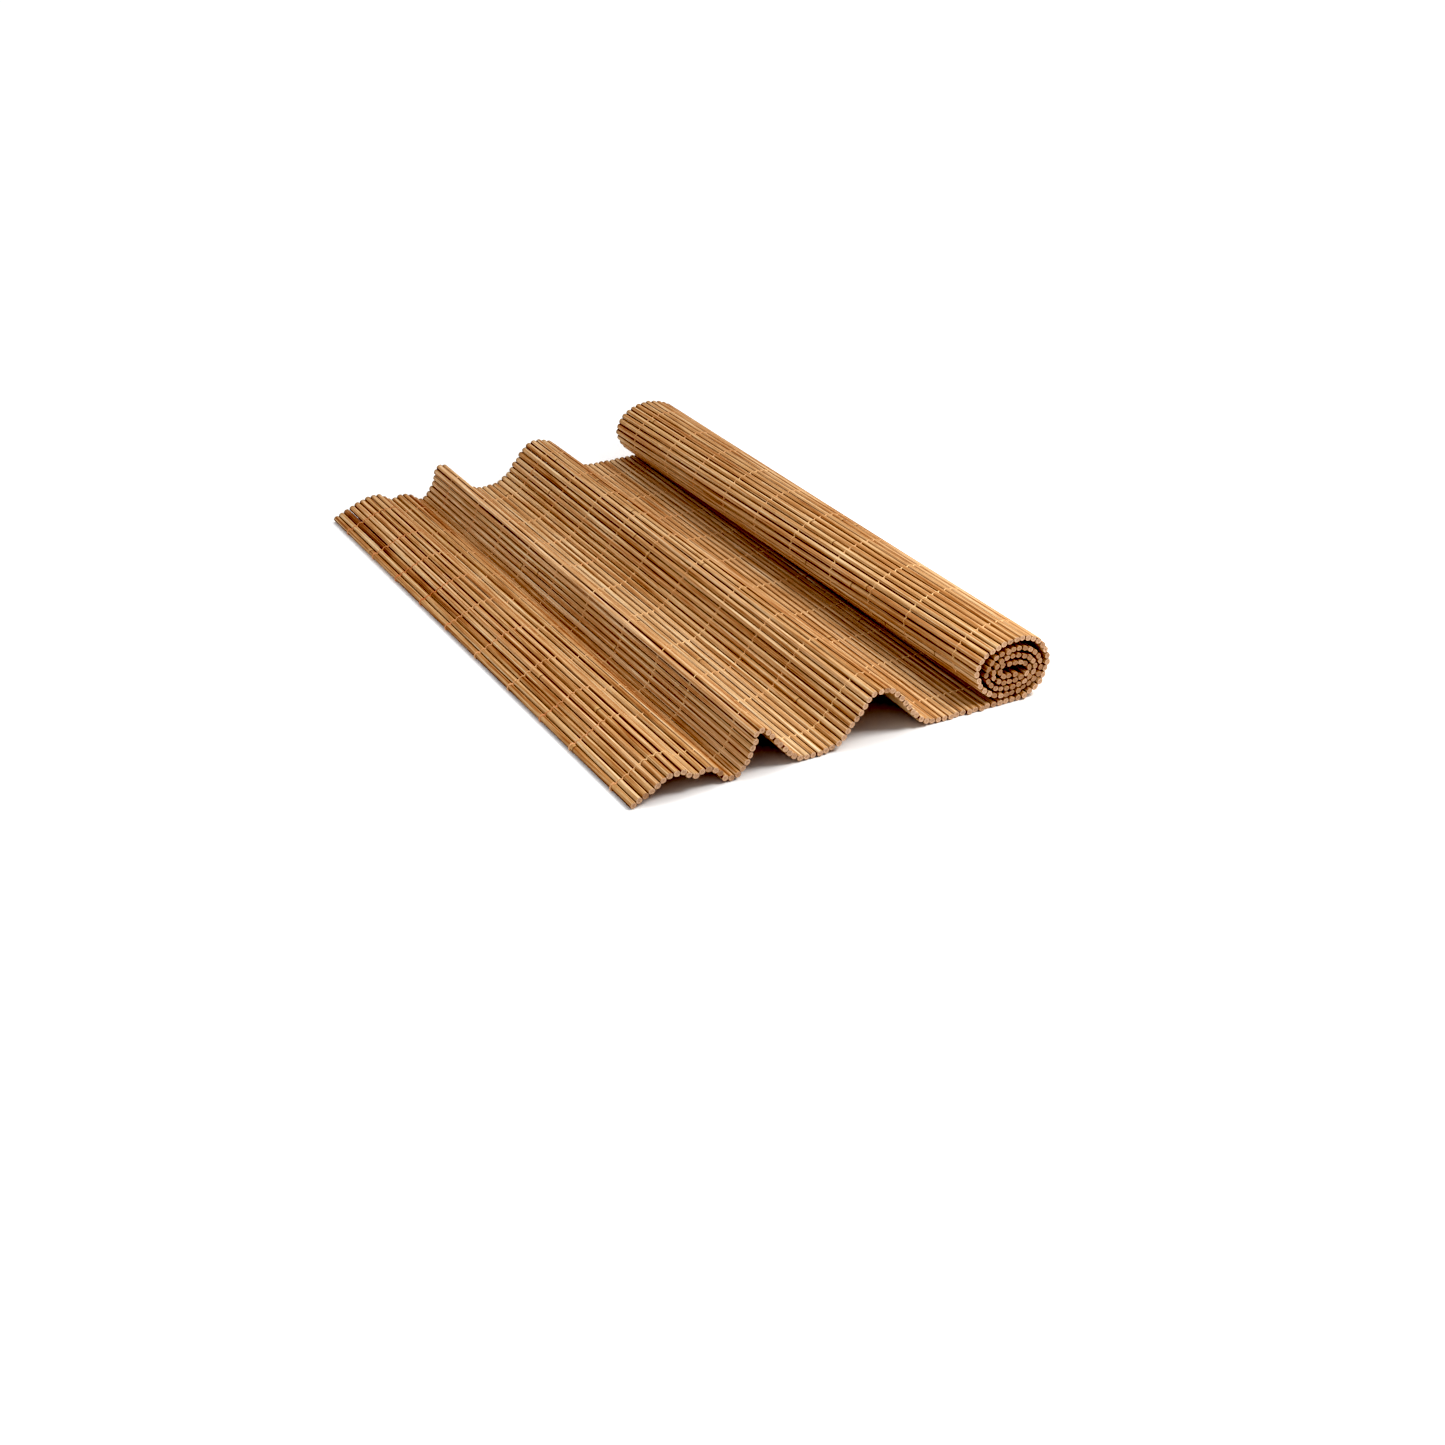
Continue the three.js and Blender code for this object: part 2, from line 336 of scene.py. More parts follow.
# %% Growth nodes, tone and hue of each slat
NEAR_NODES = (15, 140)
FAR_NODES = (160, 285)
SWOLLEN_SHARE = 0.3
SWELLING = (0.03, 0.07)
TONE_SPREAD = 0.055
TONE_RANGE = (0.2, 0.7)
DARK_SHARE = 0.08
DARKER = 0.12
INNER_DARKER = 0.15
HUE_SPREAD = 0.17
SEED_REACH = 50
TILT_SPREAD = 0.07
TILT_MOST = 0.15

# Waves in a slat's thickness start somewhere else on each slat
ripple_phase = draw.uniform(0, 2 * math.pi, PAIRS)
# Two growth nodes along each slat, most of them sanded until they hardly show
near_node = draw.uniform(*NEAR_NODES, SLAT_COUNT)
node_place = np.stack([near_node, draw.uniform(*FAR_NODES, SLAT_COUNT)], axis=1)
swollen = draw.random(PAIRS) < SWOLLEN_SHARE
node_swelling = np.where(swollen, draw.uniform(*SWELLING, PAIRS), 0)
# A tone from dark to pale and a hue from golden to rosy for each slat
tone = draw.normal(0.5, TONE_SPREAD, SLAT_COUNT)
tone = np.where(draw.random(SLAT_COUNT) < DARK_SHARE, tone - DARKER, tone).clip(*TONE_RANGE)
tone[THIN_FROM:] -= INNER_DARKER
hue = draw.normal(0.5, HUE_SPREAD, SLAT_COUNT).clip(0, 1)
seed = draw.uniform(0, SEED_REACH, SLAT_COUNT)
cut_tilt = draw.normal(0, TILT_SPREAD, (SLAT_COUNT, 2, 2)).clip(-TILT_MOST, TILT_MOST)

# Runs of slats, paler or darker, redder or less red. Some came from another cane; others are painted light
# and shade: paler on the shaded rises to B and C and on the roll's left side, darker on the roll's lit top.
CaneAndLightRun = collections.namedtuple("CaneAndLightRun", "first last paler redder")
CANE_AND_LIGHT_RUNS = [
    CaneAndLightRun(0, 2, 0, -0.25),
    CaneAndLightRun(14, 17, -0.04, 0),
    CaneAndLightRun(18, 23, 0.07, 0.35),
    CaneAndLightRun(26, 31, -0.04, 0),
    CaneAndLightRun(33, 46, 0.11, -0.1),
    CaneAndLightRun(47, 52, -0.06, 0),
    CaneAndLightRun(53, 56, 0.12, -0.1),
    CaneAndLightRun(58, 62, 0.05, 0),
    CaneAndLightRun(64, 72, -0.04, 0),
    CaneAndLightRun(78, 90, -0.03, 0),
    CaneAndLightRun(92, 97, 0.04, 0),
]
# Some runs paint light and shade into the tone; the rest are real differences between canes
for cane_and_light_run in CANE_AND_LIGHT_RUNS:
    tone[cane_and_light_run.first : cane_and_light_run.last + 1] += cane_and_light_run.paler
    hue[cane_and_light_run.first : cane_and_light_run.last + 1] += cane_and_light_run.redder
print("tones", round(tone.min(), 2), "to", round(tone.max(), 2))

# %% [markdown]
# The photograph shows a few slats that were hurt in use: by the loose edge one is stained dark towards its
# far end and the one beside it has a short pale split with a duller stretch behind it, and two more have
# weathered grey. A short table says which slat, between which distances from the near end, and how much
# paler or darker it is there. The value goes into the mesh beside the tone, point by point.

# %% Stains and splits
Mark = collections.namedtuple("Mark", "what slat start stop change")
MARKS = [
    Mark("split beside the loose edge", 1, 250, 270, 0.12),
    Mark("duller stretch behind the split", 1, 272, 304, -0.1),
    Mark("stain towards the far end", 2, 243, 300, -0.27),
    Mark("stain further along the same slat", 2, 120, 215, -0.06),
    Mark("grey weathered stretch", 14, 236, 300, -0.25),
    Mark("grey weathered stretch", 15, 250, 300, -0.2),
]
MARK_FADE = 4
print(len(MARKS), "marks")


def marked(slat, along):
    """How much paler, or with a minus darker, the marks make a slat at these distances from its near end."""
    change = np.zeros_like(along)
    for mark in MARKS:
        if mark.slat == slat:
            inside = np.minimum(along - mark.start, mark.stop - along) / MARK_FADE
            change += mark.change * inside.clip(0, 1)
    return change


# %% [markdown]
# A slat is a rod of rings. Rings stand closer at the two growth nodes, where the rod swells a little, and a
# few narrow rings at each end round the sawn edge and close it with a slightly tilted, hollowed cut.
# Blender's own cylinder has none of that, so the points come from numpy. Three values are kept on the
# points for the material: the place in the rod's own section and along it, the distances to its growth
# nodes, and its tone, hue and seed.

# %% Rings of a rod
SIDES = 16
EVEN_RINGS = 40
NODE_RINGS = np.array([-3.2, -1.3, -0.45, 0, 0.45, 1.3, 3.2])
EDGE_ROUNDING = 0.14
# Rings that close an end: a rounded edge, the cut's rim, a ring inside it and the hollow middle
CAP_SHARES = np.array([0.93, 0.9, 0.5, 0])
CAP_DEPTHS = np.array([0.03, 0, 0.03, 0.09])
CAP_RINGS = len(CAP_SHARES)
# A distance to a node that is as good as none
NO_NODE = 99
END_SCATTER = 0.8
END_INSET = 0.3
HASH_ROW = 12.9898
HASH_COLUMN = 78.233
HASH_SCALE = 43758.5453


def scatter(row, column):
    """A number between 0 and 1 that looks random, the same one that staggered the solid's slat ends."""
    wave = np.sin(row * HASH_ROW + column * HASH_COLUMN) * HASH_SCALE
    return wave - np.floor(wave)


def ring_stations(slat):
    """Distances of a slat's rings from the mat's near side, in order from its near end to its far end."""
    start = END_INSET + END_SCATTER * scatter(slat, 1)
    stop = SLAT_LENGTH - END_INSET - END_SCATTER * scatter(slat, -1)
    even = np.linspace(start + EDGE_ROUNDING, stop - EDGE_ROUNDING, EVEN_RINGS)
    at_nodes = (node_place[slat][:, None] + NODE_RINGS).ravel()
    return start, stop, np.sort(np.concatenate([even, at_nodes]))


print("rings on a slat", len(ring_stations(0)[2]), "and", SIDES, "sides")

# %% Axis and section of a rod
# Lengths of the two waves in a slat's thickness, and the share of it that each wave adds
LONG_WAVE = 23
SHORT_WAVE = 9.7
WAVE_SHARE = 0.01
# Keeps a slat's centre so high that no wave sinks into the table
WAVE_ROOM = 1.02
NODE_WIDTH = 1.1


def ways(centres):
    """Unit vectors in X and Z along the mat at each slat, and the way square to it."""
    steps = np.diff(centres, axis=0)
    steps /= np.linalg.norm(steps, axis=1)[:, None]
    along = np.concatenate([steps[:1], steps[:-1] + steps[1:], steps[-1:]])
    along /= np.linalg.norm(along, axis=1)[:, None]
    return along, np.stack([-along[:, 1], along[:, 0]], axis=1)


near_along, near_up = ways(near_centres)
far_along, far_up = ways(far_centres)


def slat_axis(slat, stations):
    """A slat's centre points and the two directions of its section, at distances from the near side."""
    share = (stations / SLAT_LENGTH)[:, None]
    along = near_along[slat] * (1 - share) + far_along[slat] * share
    up = near_up[slat] * (1 - share) + far_up[slat] * share
    return centres_along(slat, stations), along, up


def centres_along(slat, stations):
    """A slat's centres at distances from the near side, as rows of X and Z, never sunk in the table."""
    share = (stations / SLAT_LENGTH)[:, None]
    near = near_centres[slat] + near_up[slat] * stand[slat, 0]
    far = far_centres[slat] + far_up[slat] * stand[slat, 1]
    centre = near * (1 - share) + far * share
    centre[:, 1] = np.maximum(centre[:, 1], half_thick[slat] * WAVE_ROOM)
    return centre


def reach(slat, beside, stations):
    """How far a slat reaches along its own width: to a hair before halfway to the one beside it."""
    if not 0 <= beside < SLAT_COUNT:
        return np.full(len(stations), HALF_WIDTH)
    centre, along, _ = slat_axis(slat, stations)
    way = centres_along(beside, stations) - centre
    return np.minimum((way**2).sum(axis=1) / 2 / abs((way * along).sum(axis=1)) - CLEARANCE, WIDEST)


def half_thickness(slat, stations):
    """Half a slat's thickness at distances from the near side, with its waves and its swollen nodes."""
    waves = np.sin(stations / LONG_WAVE + ripple_phase[slat, 0])
    waves = waves + np.sin(stations / SHORT_WAVE + ripple_phase[slat, 1])
    from_nodes = (stations[:, None] - node_place[slat]) / NODE_WIDTH
    swelling = (node_swelling[slat] * np.exp(-(from_nodes**2))).sum(axis=1)
    return half_thick[slat] * (1 + WAVE_SHARE * waves) + swelling


print("first slat's half thickness", half_thickness(0, np.array([0])).round(3))

# %% Points of a rod


def around(values):
    """Values of a rod's rings, given to every point of each ring."""
    return np.repeat(values[:, None], SIDES, axis=1)


def rod(slat):
    """One slat's ring points, with each point's place in the section, look and distances to nodes."""
    start, stop, stations = ring_stations(slat)
    station = np.concatenate([(start + CAP_DEPTHS)[::-1], stations, stop - CAP_DEPTHS])
    part = np.concatenate([CAP_SHARES[::-1], np.ones(len(stations)), CAP_SHARES])
    centre, along, up = slat_axis(slat, station)
    angle = np.linspace(-math.pi / 2, 1.5 * math.pi, SIDES, endpoint=False)
    to_last = reach(slat, slat - 1, station)[:, None]
    to_next = reach(slat, slat + 1, station)[:, None]
    wide = np.where(np.cos(angle) < 0, to_last, to_next)
    across = np.cos(angle) * wide * part[:, None]
    above = np.sin(angle) * (half_thickness(slat, station) * part)[:, None]
    tilt = np.zeros((len(station), 2))
    tilt[:CAP_RINGS] = cut_tilt[slat, 0]
    tilt[-CAP_RINGS:] = cut_tilt[slat, 1]
    x = centre[:, :1] + across * along[:, :1] + above * up[:, :1]
    z = centre[:, 1:] + across * along[:, 1:] + above * up[:, 1:]
    y = station[:, None] + across * tilt[:, :1] + above * tilt[:, 1:] - SLAT_LENGTH / 2
    points = np.stack([x, y, z], axis=2)
    section = np.stack([np.cos(angle) * part[:, None], np.sin(angle) * part[:, None]], axis=2)
    section = np.concatenate([section, around(station[:, None])], axis=2)
    gaps = np.where(node_swelling[slat] > 0, station[:, None] - node_place[slat], NO_NODE)
    growth = np.column_stack([gaps, np.zeros(len(station))])
    pale = tone[slat] + marked(slat, station)
    constant = np.ones(len(station))
    look = np.stack([pale, hue[slat] * constant, seed[slat] * constant], axis=1)
    return points, section, around(look), around(growth)


print("grid of a rod's points", rod(0)[0].shape)

# %% [markdown]
# The faces of a rod are the same for every slat, so they are worked out once and shifted. Each face corner
# also gets a place on the flat map that a baked texture would use: a slat's skin is one straight strip, as
# long as the map is wide, with the round cuts at the strip's two ends. Stacked strips waste almost none of
# the map, and the grain runs straight along them.

# %% Faces and flat map of a rod
RING_COUNT = 2 * CAP_RINGS + EVEN_RINGS + 2 * len(NODE_RINGS)
STRIP_ENDS = 0.03
STRIP_MARGIN = 0.06
CUT_RADIUS = 0.011


def rod_faces():
    """A rod's near fan, its bands of four-cornered faces and its far fan, as rows of (ring, side) corners."""
    near = [[(0, j), (1, j), (1, j + 1)] for j in range(SIDES)]
    bands = []
    for k in range(1, RING_COUNT - 2):
        bands += [[(k, j), (k + 1, j), (k + 1, j + 1), (k, j + 1)] for j in range(SIDES)]
    end = RING_COUNT - 1
    far = [[(end, j), (end - 1, j + 1), (end - 1, j)] for j in range(SIDES)]
    return near + bands + far


def rod_corner(ring, side):
    """The number of a rod's point. The first and last ring are a single point each."""
    if ring == 0:
        return 0
    if ring == RING_COUNT - 1:
        return 1 + (RING_COUNT - 2) * SIDES
    return 1 + (ring - 1) * SIDES + side % SIDES


ROD_FACES = rod_faces()
ROD_POINTS = 2 + (RING_COUNT - 2) * SIDES
ROD_INDEX = [[rod_corner(ring, side) for ring, side in face] for face in ROD_FACES]
CORNER_RING = np.array([ring for face in ROD_FACES for ring, side in face])
CORNER_SIDE = np.array([side for face in ROD_FACES for ring, side in face])
LOWEST_RING = np.concatenate([[min(ring for ring, side in face)] * len(face) for face in ROD_FACES])
ON_NEAR_CUT = LOWEST_RING < CAP_RINGS
ON_FAR_CUT = LOWEST_RING >= RING_COUNT - 1 - CAP_RINGS
print("faces on a rod", len(ROD_FACES))


def rod_map(section, strip, strips):
    """The flat map of one rod's face corners, on strip number strip of so many."""
    station = section[:, 0, 2]
    share = np.hypot(section[:, 0, 0], section[:, 0, 1])[CORNER_RING]
    angle = 2 * math.pi * CORNER_SIDE / SIDES
    run = (station - station[0]) / (station[-1] - station[0])
    u = STRIP_ENDS + (1 - 2 * STRIP_ENDS) * run[CORNER_RING]
    v = (strip + STRIP_MARGIN + (1 - 2 * STRIP_MARGIN) * CORNER_SIDE / SIDES) / strips
    for on_cut, middle in ((ON_NEAR_CUT, STRIP_ENDS / 2), (ON_FAR_CUT, 1 - STRIP_ENDS / 2)):
        u = np.where(on_cut, middle + CUT_RADIUS * share * np.cos(angle), u)
        v = np.where(on_cut, (strip + 0.5) / strips + CUT_RADIUS * share * np.sin(angle), v)
    return np.stack([u, v], axis=1)


def single_ends(grid):
    """A rod's grid of ring points as a list, with the first and the last ring as one point each."""
    flat = grid.reshape(RING_COUNT, SIDES, -1)
    middle = flat[1:-1].reshape((RING_COUNT - 2) * SIDES, -1)
    return np.concatenate([flat[0, :1], middle, flat[-1, :1]])


# %% [markdown]
# One helper turns points, faces, map and values into a Blender object and lets it ride on the mat's only
# body. All work above is in millimetres, and this is the one place where it becomes metres. Edges sharper
# than 35 degrees stay sharp, so the sawn rims catch the light while the rods shade round.

# %% From numbers to a piece
SHARP_EDGE = math.radians(35)


def make_piece(name, points, faces, corner_map, values, material):
    """A smooth mesh object from lists of parts, with named values on its points, riding on the mat."""
    mesh = bpy.data.meshes.new(name)
    points = np.concatenate(points)
    mesh.from_pydata((points * MM).tolist(), [], faces)
    for value_name, parts in values.items():
        numbers = np.concatenate(parts)
        kind, field = ("FLOAT_VECTOR", "vector") if numbers.ndim == 2 else ("FLOAT", "value")
        attribute = mesh.attributes.new(value_name, kind, "POINT")
        attribute.data.foreach_set(field, numbers.astype(np.float32).ravel())
    layer = mesh.uv_layers.new(name="OFBake")
    layer.uv.foreach_set("vector", np.concatenate(corner_map).astype(np.float32).ravel())
    mesh.shade_smooth()
    mesh.set_sharp_from_angle(angle=SHARP_EDGE)
    mesh.materials.append(material)
    piece = bpy.data.objects.new(name, mesh)
    scene.collection.objects.link(piece)
    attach(piece, "root")
    triangles = sum(len(face) - 2 for face in faces)
    print(name, "has", len(points), "points and", triangles, "triangles")
    return piece


# %% [markdown]
# Shader maths reads best as plain formulas. This small class holds one output socket of a node tree, and
# plus, minus and times on it add Math nodes. Colours and vectors have methods of their own, because a Math
# node would turn a colour grey, and every other node comes from the one method called node.

# %% A socket that can be calculated with


class Link:
    """An output socket of a material's node tree. Arithmetic on it adds the nodes that do the sum."""

    def __init__(self, tree, socket=None):
        self.tree = tree
        self.socket = socket

    def node(self, kind, settings=None, inputs=None, output=0):
        """A new node: its settings are set first, then the values or links of its sockets."""
        made = self.tree.nodes.new(kind)
        for name, setting in (settings or {}).items():
            if name == "stops":
                stops = made.color_ramp.elements
                while len(stops) < len(setting):
                    stops.new(1)
                for stop, (place, colour) in zip(stops, setting):
                    stop.position = place
                    stop.color = (*colour, 1)
            else:
                setattr(made, name, setting)
        for name, value in (inputs or {}).items():
            if isinstance(value, Link):
                self.tree.links.new(value.socket, made.inputs[name])
            else:
                made.inputs[name].default_value = value
        return Link(self.tree, made.outputs[output])

    def math(self, operation, *values):
        """A Math node on these values."""
        return self.node("ShaderNodeMath", {"operation": operation}, dict(enumerate(values)))

    def __add__(self, other):
        return self.math("ADD", self, other)

    def __sub__(self, other):
        return self.math("SUBTRACT", self, other)

    def __rsub__(self, other):
        return self.math("SUBTRACT", other, self)

    def __mul__(self, other):
        return self.math("MULTIPLY", self, other)

    def __abs__(self):
        return self.math("ABSOLUTE", self)

    __radd__ = __add__
    __rmul__ = __mul__

    def rise(self, low, high):
        """0 below low, 1 above high and a smooth slope between them. With low above high it falls instead."""
        inputs = {"Value": self, "From Min": low, "From Max": high}
        return self.node("ShaderNodeMapRange", {"interpolation_type": "SMOOTHSTEP"}, inputs)

    def mix(self, low, high):
        """The colour low where this is 0 and high where it is 1."""
        colours = [(*colour, 1) if isinstance(colour, tuple) else colour for colour in (low, high)]
        inputs = {0: self, 6: colours[0], 7: colours[1]}
        return self.node("ShaderNodeMix", {"data_type": "RGBA"}, inputs, 2)

    def tinted(self, tint):
        """This colour times another one."""
        settings = {"data_type": "RGBA", "blend_type": "MULTIPLY"}
        return self.node("ShaderNodeMix", settings, {0: 1.0, 6: self, 7: tint}, 2)

    def stretched(self, factors):
        """This vector times three factors."""
        return self.node("ShaderNodeVectorMath", {"operation": "MULTIPLY"}, {0: self, 1: factors})

    def noise(self, seed_link, detail=2.0, roughness=0.5):
        """Four-dimensional noise at this place, with a slat's own seed as the fourth dimension."""
        inputs = {"Vector": self, "W": seed_link, "Scale": 1.0, "Detail": detail, "Roughness": roughness}
        return self.node("ShaderNodeTexNoise", {"noise_dimensions": "4D"}, inputs)

    def parts(self):
        """This vector's X, Y and Z."""
        split = self.node("ShaderNodeSeparateXYZ", None, {"Vector": self})
        outputs = split.socket.node.outputs
        return [Link(self.tree, outputs[k]) for k in range(3)]


def new_material(name):
    """An empty node material, its shader and a Link to start formulas from."""
    material = bpy.data.materials.new(name)
    material.use_nodes = True
    return material, material.node_tree.nodes["Principled BSDF"], Link(material.node_tree)


def feed(shader, name, link):
    """Joins a formula's result to a socket of the shader."""
    link.tree.links.new(link.socket, shader.inputs[name])


# %% [markdown]
# Bamboo skin is a golden tan that has darkened with use. Its fibres run the whole length of a slat, so the
# noise is squeezed round the rod and drawn out along it: once very long for slow changes of tone, once as
# mottling, once as long pale and dark streaks, once fine for fibres, and once short and thin for the dark
# dashes of the vessels. Every slat reads the noise at its own seed. Where the saw cut it, the same fibres
# show end on as dots in a duller, pinkish wood, which the place in the section finds: it is 1 out on the
# skin and less on the cut.

# %% Bamboo
Grain = collections.namedtuple("Grain", "stretch shift detail roughness")
SLOW = Grain((0.7, 0.7, 0.016), 0, 2, 0.5)
MOTTLE = Grain((1.6, 1.6, 0.11), 3.7, 3, 0.6)
STREAK = Grain((2.7, 2.7, 0.018), 6.3, 1, 0.5)
FIBRE = Grain((6.5, 6.5, 0.05), 9.1, 4, 0.65)
VESSEL = Grain((15.0, 15.0, 0.22), 5.3, 1, 0.5)
PORES = Grain((11.0, 11.0, 0.0), 1.9, 2, 0.6)
bamboo, shader, start = new_material("bamboo")
section = start.node("ShaderNodeAttribute", {"attribute_name": "section"}, output=1)
look = start.node("ShaderNodeAttribute", {"attribute_name": "look"}, output=1)
growth = start.node("ShaderNodeAttribute", {"attribute_name": "growth"}, output=1)
pale, warmth, slat_seed = look.parts()
first_gap, second_gap, _ = growth.parts()


def grain(kind):
    """Noise that runs with a slat's fibres, read at the slat's own seed."""
    place = section.stretched(kind.stretch)
    return place.noise(slat_seed + kind.shift, kind.detail, kind.roughness)


slow, mottle, streak, fibre, vessel = [grain(kind) for kind in (SLOW, MOTTLE, STREAK, FIBRE, VESSEL)]

# %% Colour of the skin
BROAD_SHARE = 0.4
FINE_SHARE = 1.4
SKIN_STOPS = [
    (0.0, (0.165, 0.055, 0.017)),
    (0.25, (0.350, 0.163, 0.060)),
    (0.5, (0.498, 0.306, 0.152)),
    (0.75, (0.625, 0.458, 0.286)),
    (1.0, (0.760, 0.640, 0.470)),
]
GOLDEN = (1.0, 1.0, 0.93)
ROSY = (1.03, 0.94, 0.87)
DASH_RISE = (0.6, 0.74)
DASH_COVER = 0.45
DASH_BROWN = (0.20, 0.078, 0.022)
value = pale + (slow - 0.5) * BROAD_SHARE + (mottle - 0.5) * BROAD_SHARE
value = value + (streak - 0.5) * FINE_SHARE + (fibre - 0.5) * FINE_SHARE
skin = start.node("ShaderNodeValToRGB", {"stops": SKIN_STOPS}, {"Fac": value})
skin = skin.tinted(warmth.mix(GOLDEN, ROSY))
skin = (vessel.rise(*DASH_RISE) * DASH_COVER).mix(skin, DASH_BROWN)

# %% [markdown]
# A growth node shows as a thin dark ring with a paler, slightly waxy band beside it. The distance to the
# node is on the points, and a little noise makes the ring wander instead of standing like a painted line.
# The flanks that face the next slat are painted darker, as painted shade between the slats, so the seams
# read as brown lines, more so in slow patches. The last few millimetres at the far end are darker too, which
# outlines the slats' far tips. Bare bamboo hardly shines, so its specular level is close to none.

# %% Growth nodes
WANDER = 1.5
RING_FADE = (0.55, 0.2)
RING_COVER = 0.7
RING_BROWN = (0.13, 0.050, 0.016)
BAND_MIDDLE = 1.2
BAND_FADE = (1.3, 0.5)
BAND_COVER = 0.35
BAND_PALE = (0.66, 0.44, 0.20)
wander = (mottle - 0.5) * WANDER
rings = []
bands = []
for gap in (first_gap, second_gap):
    place = gap + wander
    rings.append(abs(place).rise(*RING_FADE))
    bands.append(abs(place - BAND_MIDDLE).rise(*BAND_FADE))
ring = start.math("MAXIMUM", *rings)
band = start.math("MAXIMUM", *bands)
skin = (band * BAND_COVER).mix(skin, BAND_PALE)
skin = (ring * RING_COVER).mix(skin, RING_BROWN)

# %% Darker far tips and painted shade in the seams
TIP_RISE = (296.5, 299.2)
TIP_COVER = 0.55
TIP_BROWN = (0.19, 0.115, 0.060)
SEAM_RISE = (0.7, 0.95)
SEAM_SHADE_LEAST = 0.15
SEAM_SHADE_PATCHES = (0.36, 0.56)
SEAM_SHADE_BROWN = (0.070, 0.012, 0.001)
across, above, from_near_side = section.parts()
# The last few millimetres at the far end are coloured darker, which outlines the slats' far tips
skin = (from_near_side.rise(*TIP_RISE) * TIP_COVER).mix(skin, TIP_BROWN)
# Painted shade: the flanks beside each seam are coloured dark brown, with a strength that varies in slow
# patches
seam = abs(across).rise(*SEAM_RISE)
painted_seam_shade = seam * (SEAM_SHADE_LEAST + slow.rise(*SEAM_SHADE_PATCHES) * (1 - SEAM_SHADE_LEAST))
skin = painted_seam_shade.mix(skin, SEAM_SHADE_BROWN)

# %% Cut ends
CUT_FADE = (0.96, 0.86)
DULL_WOOD = (0.54, 0.345, 0.210)
PALE_WOOD = (0.86, 0.610, 0.420)
WOOD_TONES = (0.32, 0.48)
PORE_RISE = (0.35, 0.62)
PORE_BROWN = (0.25, 0.125, 0.063)
PITH_FADE = (0.75, 0.2)
PITH_COVER = 0.35
PITH_BROWN = (0.26, 0.120, 0.055)
out = start.math("SQRT", across * across + above * above)
cut = out.rise(*CUT_FADE)
fresh = pale.rise(*WOOD_TONES).mix(DULL_WOOD, PALE_WOOD)
wood = grain(PORES).rise(*PORE_RISE).mix(PORE_BROWN, fresh)
wood = (out.rise(*PITH_FADE) * PITH_COVER).mix(wood, PITH_BROWN)
feed(shader, "Base Color", cut.mix(skin, wood))

# %% Gloss and relief
ROUGHNESS = 0.5
FIBRE_ROUGHNESS = 0.25
BAND_SMOOTHNESS = 0.06
SEAM_ROUGHNESS = 0.2
CUT_ROUGHNESS = 0.3
FIBRE_RELIEF = 0.7
VESSEL_RELIEF = 0.3
RELIEF_STRENGTH = 0.45
RELIEF_DEPTH = 0.06
DULL_SPECULAR = 0.04
shader.inputs["Specular IOR Level"].default_value = DULL_SPECULAR
rough = ROUGHNESS + (fibre - 0.5) * FIBRE_ROUGHNESS - band * BAND_SMOOTHNESS
feed(shader, "Roughness", rough + seam * SEAM_ROUGHNESS + cut * CUT_ROUGHNESS)
relief = fibre * FIBRE_RELIEF + vessel * VESSEL_RELIEF
settings = {"Strength": RELIEF_STRENGTH, "Distance": RELIEF_DEPTH * MM, "Height": relief}
feed(shader, "Normal", start.node("ShaderNodeBump", None, settings))
print("bamboo has", len(bamboo.node_tree.nodes), "nodes")

# %% [markdown]
# The thread is thin twisted cotton, dyed a pale orange that reads reddish where it lies in shade. Two plies
# are enough for the twist: a wave that climbs round the thread as it runs along gives both the darker line
# of painted shade in the crease between the plies and their relief.

# %% Thread
FADED_COTTON = (0.98, 0.72, 0.400)
DYED_COTTON = (0.56, 0.180, 0.058)
PLY_LENGTH = 0.75
PLY_FADE = (-0.2, -0.95)
PLY_CREASE_SHADE = (0.40, 0.15, 0.040)
LINT_STRETCH = (1.5, 1.5, 2.2)
LINT_RISE = (0.55, 0.75)
LINT_PALE = (0.92, 0.68, 0.40)
CREASE_SHADE_AND_LINT_COVER = 0.3
COTTON_ROUGHNESS = 0.8
TWIST_STRENGTH = 0.6
TWIST_DEPTH = 0.08
thread_dye, shader, start = new_material("thread")
strand = start.node("ShaderNodeAttribute", {"attribute_name": "strand"}, output=1)
dye = start.node("ShaderNodeAttribute", {"attribute_name": "dye"}, output=2)
ply_cos, ply_sin, run = strand.parts()
climb = run * (2 * math.pi / PLY_LENGTH)
twist = ply_sin * start.math("COSINE", climb) + ply_cos * start.math("SINE", climb)
lint = strand.stretched(LINT_STRETCH).noise(0.0, detail=2, roughness=0.6)
cotton = dye.mix(FADED_COTTON, DYED_COTTON)
# Painted shade: the crease between the two plies is coloured darker brown
cotton = (twist.rise(*PLY_FADE) * CREASE_SHADE_AND_LINT_COVER).mix(cotton, PLY_CREASE_SHADE)
cotton = (lint.rise(*LINT_RISE) * CREASE_SHADE_AND_LINT_COVER).mix(cotton, LINT_PALE)
feed(shader, "Base Color", cotton)
shader.inputs["Roughness"].default_value = COTTON_ROUGHNESS
settings = {"Strength": TWIST_STRENGTH, "Distance": TWIST_DEPTH * MM, "Height": twist}
feed(shader, "Normal", start.node("ShaderNodeBump", None, settings))
print("thread has", len(thread_dye.node_tree.nodes), "nodes")

# %% [markdown]
# The mat is made in four pieces of forty slats, from the loose end to the middle of the roll, so that none
# grows too heavy and each gets a fine map of its own. Together they stand for the solid, which is then
# hidden.

# %% Slats
PIECES = ("slats_loose_end", "slats_waves", "slats_outer_turn", "slats_inner_turns")
SLATS_EACH = SLAT_COUNT // len(PIECES)


